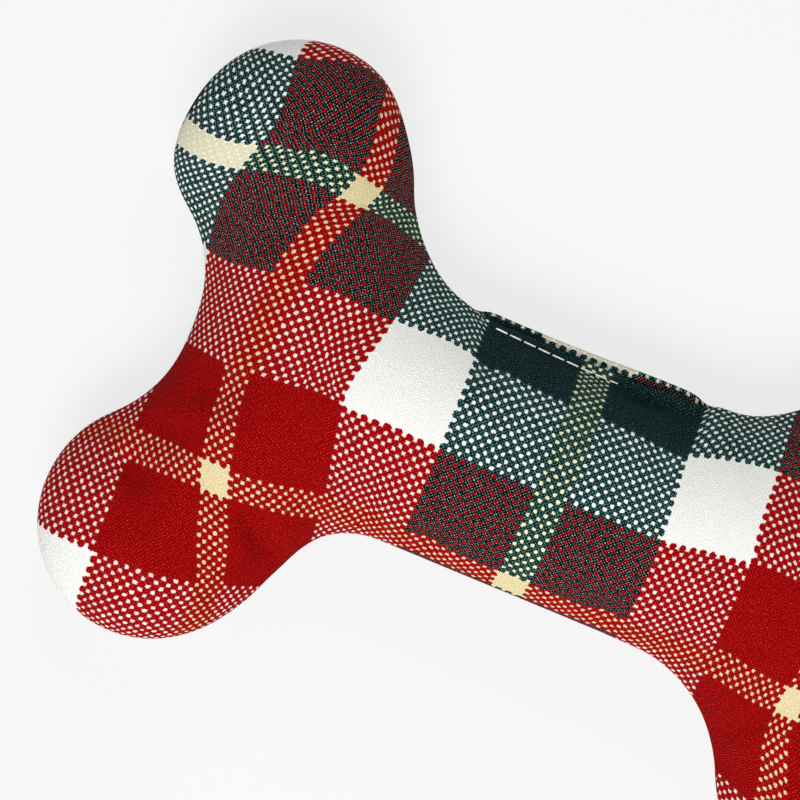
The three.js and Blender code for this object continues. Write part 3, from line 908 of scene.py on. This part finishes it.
def panel(name, side, sewn, flat_rows, material):
    """A panel's piece: allowance rows and wall rows as one grid, shaped by hand, settled on the floor and
    given its thickness."""
    edge_rows, edge_cut = allowance(side, sewn[0], flat_rows[0])
    sewn = sewn.copy()
    sewn[0, :, 2] = side * SEWN_LEVEL * gap_share
    grid = np.concatenate([edge_rows, sewn]).reshape(-1, 3)
    place = np.concatenate([edge_cut, flat_rows]).reshape(-1, 2)
    grid[:, 2] += SEAM_LEVEL + side * SEAM_GAP
    grid = by_hand(grid)
    if side < 0:
        grid[:, 2] = on_floor(grid[:, 2])
    points, first, number = welded(grid)
    faces = corner_lists(number[bands(ALLOWANCE_ROWS + ROWS + 1, STATIONS)])
    mesh = mesh_of(name, points, [f[::-1] for f in faces] if side > 0 else faces)
    flat = np.column_stack([place[first], np.zeros(len(first))])
    mesh.attributes.new("cut_place", "FLOAT_VECTOR", "POINT").data.foreach_set("vector", flat.ravel())
    piece = piece_of(name, mesh, material)
    thick = piece.modifiers.new("cloth thickness", "SOLIDIFY")
    thick.thickness = CANVAS
    thick.offset = -1
    soft = piece.modifiers.new("soft cloth", "SUBSURF")
    soft.levels = soft.render_levels = 1
    print(name, "has", len(mesh.polygons), "faces before it is softened")
    return piece


front_panel = panel("front_panel_canvas", 1, front_wall, slid_rows, front_canvas)
back_panel = panel("back_panel_canvas", -1, back_wall, cut_rows, back_canvas)

# %% [markdown]
# ## Sewing thread
#
# Thread is two strands twisted together. A tube along a path would be smooth, so its section is a
# two-lobed curve that turns as it goes. The closing row is one thread that dives at every needle hole,
# and the seam inside runs round the rest of the outline on the turned-in allowance.

# %% Sewing thread
THREAD, THREAD_SIDES = 0.34 * MM, 10
TWIST_LENGTH, STRAND_DEPTH = 1.1 * MM, 0.16
STITCH, STITCH_COUNT, STITCH_POINTS = 3.3 * MM, 13, 20
HOLE_DEPTH, DIVE_POWER = 1.2 * MM, 22
STITCH_STAND, STITCH_OUT, STITCH_ARCH = 0.36 * MM, 0.25 * MM, 0.12 * MM
STITCH_SINK, SINK_START, SINK_RUN = 0.62 * MM, 1.0 * MM, 6.0 * MM
SEAM_INSET, SEAM_STAND, SEAM_HUMP, SEAM_POINTS = 2.4 * MM, CANVAS + 0.45 * MM, 0.12 * MM, 4


def twisted_thread(path, radius):
    """A tube along a path: the section's radius is larger on two lobes, and the lobes turn with the
    distance along the path."""
    step = np.gradient(path, axis=0)
    step /= np.linalg.norm(step, axis=1, keepdims=True)
    up = np.array([0, 0, 1.0]) - step * step[:, 2:]
    up /= np.linalg.norm(up, axis=1, keepdims=True)
    across = np.cross(step, up)
    run = np.concatenate([[0], np.cumsum(np.linalg.norm(np.diff(path, axis=0), axis=1))])
    turn = np.linspace(0, 2 * math.pi, THREAD_SIDES, endpoint=False)
    lobes = 1 + STRAND_DEPTH * np.cos(2 * (turn - 2 * math.pi * run[:, None] / TWIST_LENGTH))
    ring = across[:, None] * np.cos(turn)[:, None] + up[:, None] * np.sin(turn)[:, None]
    points = (path[:, None] + radius * lobes[..., None] * ring).reshape(-1, 3)
    number = list(range(len(points)))
    faces = bands(len(path), THREAD_SIDES).tolist()
    faces += [number[:THREAD_SIDES][::-1], number[-THREAD_SIDES:]]
    return points, [face[::-1] for face in faces]


def closing_thread(side):
    """The closing row: along x at the sewn line, standing on the cloth along each stitch and diving at the
    holes by a high power of the cosine. Right of the middle it sinks into the cloth and out of sight."""
    count = STITCH_COUNT * STITCH_POINTS
    stitches = np.linspace(0, STITCH_COUNT, count + 1)
    x = GAP_CENTRE + (stitches - STITCH_COUNT / 2) * STITCH
    y = SHAFT_EDGE - stitch_line(x) + STITCH_OUT
    dive = np.abs(np.cos(math.pi * stitches)) ** DIVE_POWER
    sink = STITCH_SINK * smooth((x - SINK_START) / SINK_RUN)
    arch = STITCH_ARCH * (np.sin(math.pi * stitches) ** 2 - 0.5)
    stand = SEWN_LEVEL + STITCH_STAND + arch - sink - HOLE_DEPTH * dive
    z = SEAM_LEVEL + side * (SEAM_GAP + stand)
    return by_hand(np.column_stack([x, y, z]))


def seam_thread(side):
    """The seam: round the outline a little inside the rim, on the turned-in allowance, with a small hump
    for every stitch, from one end of the gap to the other."""
    order = np.roll(np.arange(STATIONS), -np.argmin(in_gap))
    order = order[~in_gap[order]]
    plan = rim[order] - outward[order] * SEAM_INSET
    run = np.concatenate([[0], np.cumsum(np.linalg.norm(np.diff(plan, axis=0), axis=1))])
    even = np.linspace(0, run[-1], SEAM_POINTS * int(run[-1] / STITCH))
    x, y = (np.interp(even, run, plan[:, axis]) for axis in range(2))
    hump = SEAM_HUMP * np.cos(2 * math.pi * even / STITCH)
    z = SEAM_LEVEL + side * (SEAM_GAP + SEAM_STAND + hump)
    return by_hand(np.column_stack([x, y, z]))


THREAD_TONES = tint(236, 234, 228), tint(255, 254, 250)
spun_thread = mottled("spun_thread", 0.7, THREAD_TONES, cloud=(3000.0, 2.0), bump=(0.3, 0.05 * MM))
threads = []
for name, path in (
    ("closing_needle_thread", closing_thread(1)),
    ("closing_bobbin_thread", closing_thread(-1)),
    ("seam_needle_thread", seam_thread(1)),
    ("seam_bobbin_thread", seam_thread(-1)),
):
    thread = piece_of(name + "_twist", mesh_of(name, *twisted_thread(path, THREAD / 2)), spun_thread)
    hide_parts(name)
    threads.append(thread)
print("threads:", [thread.name for thread in threads])

# %% [markdown]
# ## Fibre wads
#
# The stuffing is loose polyester fibre, pulled into wads and pushed in one by one. Each wad starts from a
# copy of its CAD solid, remeshed to even faces. Its surface is then drawn in a little, unevenly, by a sum
# of sine waves, so it looks like teased fibre and stays clear of the cloth.

# %% Fibre wads
WAD_MERGE, WAD_VOXEL, WAD_EASE, WAD_EASE_STEPS = 0.01 * MM, 2.4 * MM, 0.5, 6
WAD_DRAWN_IN, WAD_LUMPS = 2.2 * MM, 0.8 * MM
LUMP_WAYS = np.array([[210.0, 130.0, 90.0], [-160.0, 240.0, 120.0], [110.0, -90.0, 260.0]])
LUMP_STARTS = [0.3, 1.7, 4.1]
FIBRE_TONES = tint(214, 212, 206), tint(250, 249, 246)

loose_fibre = mottled("loose_fibre", 0.95, FIBRE_TONES, cloud=(900.0, 4.0, 2.5), bump=(0.8, 0.4 * MM))
loose_fibre.node_tree.nodes["Principled BSDF"].inputs["Sheen Weight"].default_value = 0.3


def lumps(points):
    """Uneven depth from 0 to 1: the mean of sine waves along three slanted directions."""
    return 0.5 + np.sin(points @ LUMP_WAYS.T + LUMP_STARTS).mean(axis=1) / 2


def fibre_wad(node):
    """A wad for a CAD solid: remeshed, then drawn in along its normals and shaped by hand."""
    copy = piece_of(node + "_fibre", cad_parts[node].data.copy())
    copy.data.materials.clear()
    copy.modifiers.new("merge", "WELD").merge_threshold = WAD_MERGE
    even = copy.modifiers.new("even", "REMESH")
    even.mode = "VOXEL"
    even.voxel_size = WAD_VOXEL
    ease = copy.modifiers.new("ease", "SMOOTH")
    ease.factor = WAD_EASE
    ease.iterations = WAD_EASE_STEPS
    result = bpy.data.meshes.new_from_object(copy.evaluated_get(bpy.context.evaluated_depsgraph_get()))
    copy.modifiers.clear()
    copy.data = result
    points = points_of(result)
    normals = np.empty(len(points) * 3, np.float32)
    result.vertices.foreach_get("normal", normals)
    drawn = WAD_DRAWN_IN + WAD_LUMPS * lumps(points)
    points = by_hand(points - normals.reshape(-1, 3) * drawn[:, None])
    result.vertices.foreach_set("co", points.astype(np.float32).ravel())
    result.polygons.foreach_set("use_smooth", np.ones(len(result.polygons), bool))
    result.materials.append(loose_fibre)
    result.update()
    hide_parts(node)
    return copy


wads = {node: fibre_wad(node) for node in sorted(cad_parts) if "stuffing" in node}
print("wads:", {node: len(wad.data.polygons) for node, wad in wads.items()})

# %% [markdown]
# ## Squeaker
#
# The squeaker is a soft blow-moulded puck with a reed unit snapped into its mouth. The puck is a profile
# turned about the vertical, with a faint line where the mould parted. The reed unit's hard pieces keep
# their CAD shape and get their plastics.

# %% Squeaker
BULB_LOW, BULB_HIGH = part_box("squeaker_bulb")
BULB_EDGE, BULB_WALL, BULB_MOUTH = 8 * MM, 1.2 * MM, 4.8 * MM
BULB_TURNS, EDGE_POINTS, PARTING = 64, 12, 0.15 * MM
FOOT_RING = 0.3


def bulb_profile(inset):
    """Radius and height from the foot's middle to the mouth: a flat foot, a rounded edge and a flat top."""
    radius = (BULB_HIGH.x - BULB_LOW.x) / 2
    low, high = BULB_LOW.z + inset, BULB_HIGH.z - inset
    edge = BULB_EDGE - inset
    turn = np.linspace(-math.pi / 2, 0, EDGE_POINTS)
    side = radius - BULB_EDGE + edge * np.cos(turn)
    lower = np.column_stack([side, low + edge + edge * np.sin(turn)])
    upper = np.column_stack([side, high - edge - edge * np.sin(turn)])[::-1]
    middle = np.array([[radius - inset + (PARTING if inset == 0 else 0), (low + high) / 2]])
    ends = np.array([[0.0, low], [FOOT_RING * radius, low]]), np.array([[BULB_MOUTH, high]])
    return np.vstack([ends[0], lower, middle, upper, ends[1]])


def turned_bulb():
    """The outside profile and the inside profile back again, turned about the vertical."""
    profile = np.vstack([bulb_profile(0), bulb_profile(BULB_WALL)[::-1]])
    turn = np.linspace(0, 2 * math.pi, BULB_TURNS, endpoint=False)
    ring = np.stack([np.cos(turn), np.sin(turn)], axis=1)
    plan = profile[:, None, :1] * ring
    level = np.repeat(profile[:, 1:], BULB_TURNS, axis=1)
    points, _, number = welded(np.dstack([plan, level]).reshape(-1, 3))
    quads = number[bands(len(profile), BULB_TURNS)]
    faces = [list(dict.fromkeys(face)) for face in quads.tolist()]
    return points, [face for face in faces if len(face) > 2]


def plastic(name, low, high, roughness, grain):
    """A moulded plastic: slow mottling between two tints and a fine grain in the bump."""
    tones = tint(*low), tint(*high)
    return mottled(name, roughness, tones, cloud=(160.0, 3.0), bump=(0.15, 0.05 * MM), fine=(grain, 2.0))


soft_plastic = plastic("soft_plastic", (226, 231, 232), (244, 246, 246), 0.42, 900.0)
hard_plastic = plastic("hard_plastic", (238, 234, 226), (250, 248, 242), 0.35, 2400.0)
reed_film = plastic("reed_film", (52, 104, 164), (78, 134, 192), 0.25, 3000.0)

bulb = piece_of("squeaker_puck", mesh_of("squeaker_puck", *turned_bulb()), soft_plastic)
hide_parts("squeaker_bulb")
for node, finish in (
    ("reed_housing", hard_plastic), ("reed_seat", hard_plastic),
    ("reed_clamp", hard_plastic), ("reed_tongue", reed_film),
):
    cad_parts[node].data.materials.clear()
    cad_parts[node].data.materials.append(finish)
print("squeaker puck of", len(bulb.data.polygons), "faces")

# %% [markdown]
# ## What rides on what
#
# Everything soft rides on the toy, apart from the wad over the squeaker, which goes down with the reed
# unit.


def flattens(piece, body):
    """The piece rides on a body, with a mesh of its own."""
    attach(piece, body)
    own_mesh(piece)


PRESSED = "shaft_stuffing_front"
for piece in (front_panel, back_panel, bulb, *threads):
    flattens(piece, "toy")
for node, wad in wads.items():
    if node == PRESSED:
        flattens(wad, "press")
    else:
        flattens(wad, "toy")


for piece, node in ((front_panel, "front_panel"), (back_panel, "back_panel")):
    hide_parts(node)

# %% [markdown]
# ## Floor and light
#
# The floor is pale and almost shadowless, as in a studio picture. To the camera it is mostly its own
# plain tone with a little of the shadow left. One large soft lamp stands on the side away from the lip,
# a weaker one on the lip's side, and the world fills in the rest. The camera sees the world, too, in the
# floor's tone.

# %% Floor and light
FLOOR_TONE = tint(243, 243, 243)
SHADOW_SHARE = 0.14
WORLD_LIGHT = 0.18
FLOOR_HALF = 1.5
KEY_LAMP = dict(place=(0.04, -0.52, 0.85), size=0.5, power=11.9)
FILL_LAMP = dict(place=(-0.1, 0.75, 0.65), size=0.5, power=3.2)


def shows_tone(tree, lit, kind, share, end):
    """What the camera sees itself, in a mirror or through glass is mixed with the floor's plain tone."""
    ray = put(tree, "LightPath")
    seen = calc(tree, "MAXIMUM", ray.outputs["Is Camera Ray"], ray.outputs["Is Glossy Ray"])
    seen = calc(tree, "MAXIMUM", seen, ray.outputs["Is Transmission Ray"])
    plain = put(tree, kind, {"Color": FLOOR_TONE, "Strength": 1.0})
    sources = {0: calc(tree, "MULTIPLY", seen, share), 1: lit.outputs[0], 2: plain.outputs[0]}
    tree.links.new(put(tree, "MixShader", sources).outputs[0], tree.nodes[end].inputs["Surface"])


def studio_floor():
    """A wide level plane that keeps a part of the shadow."""
    corners = FLOOR_HALF * np.array([[-1, -1, 0], [1, -1, 0], [1, 1, 0], [-1, 1, 0]])
    material, tree, shader = new_material("floor_tone", 0.9)
    shader.inputs["Base Color"].default_value = FLOOR_TONE
    shows_tone(tree, shader, "Emission", 1 - SHADOW_SHARE, "Material Output")
    floor = piece_of("studio_floor", mesh_of("studio_floor", corners, [[0, 1, 2, 3]]), material)


def soft_lamp(name, place, size, power):
    """A square area lamp that faces the middle of the toy."""
    lamp = bpy.data.objects.new(name, bpy.data.lights.new(name, "AREA"))
    SCENE.collection.objects.link(lamp)
    lamp.data.size = size
    lamp.data.energy = power
    lamp.location = place
    lamp.rotation_euler = (-lamp.location).to_track_quat("-Z", "Y").to_euler()


def studio_world():
    """A dim even light all round, which the camera sees as the floor's own tone."""
    world = bpy.data.worlds.new("studio")
    SCENE.world = world
    world.use_nodes = True
    dim = world.node_tree.nodes["Background"]
    dim.inputs["Color"].default_value = (1, 1, 1, 1)
    dim.inputs["Strength"].default_value = WORLD_LIGHT
    shows_tone(world.node_tree, dim, "Background", 1.0, "World Output")


studio_floor()
soft_lamp("key_lamp", **KEY_LAMP)
soft_lamp("fill_lamp", **FILL_LAMP)
studio_world()
print("floor and light are set")
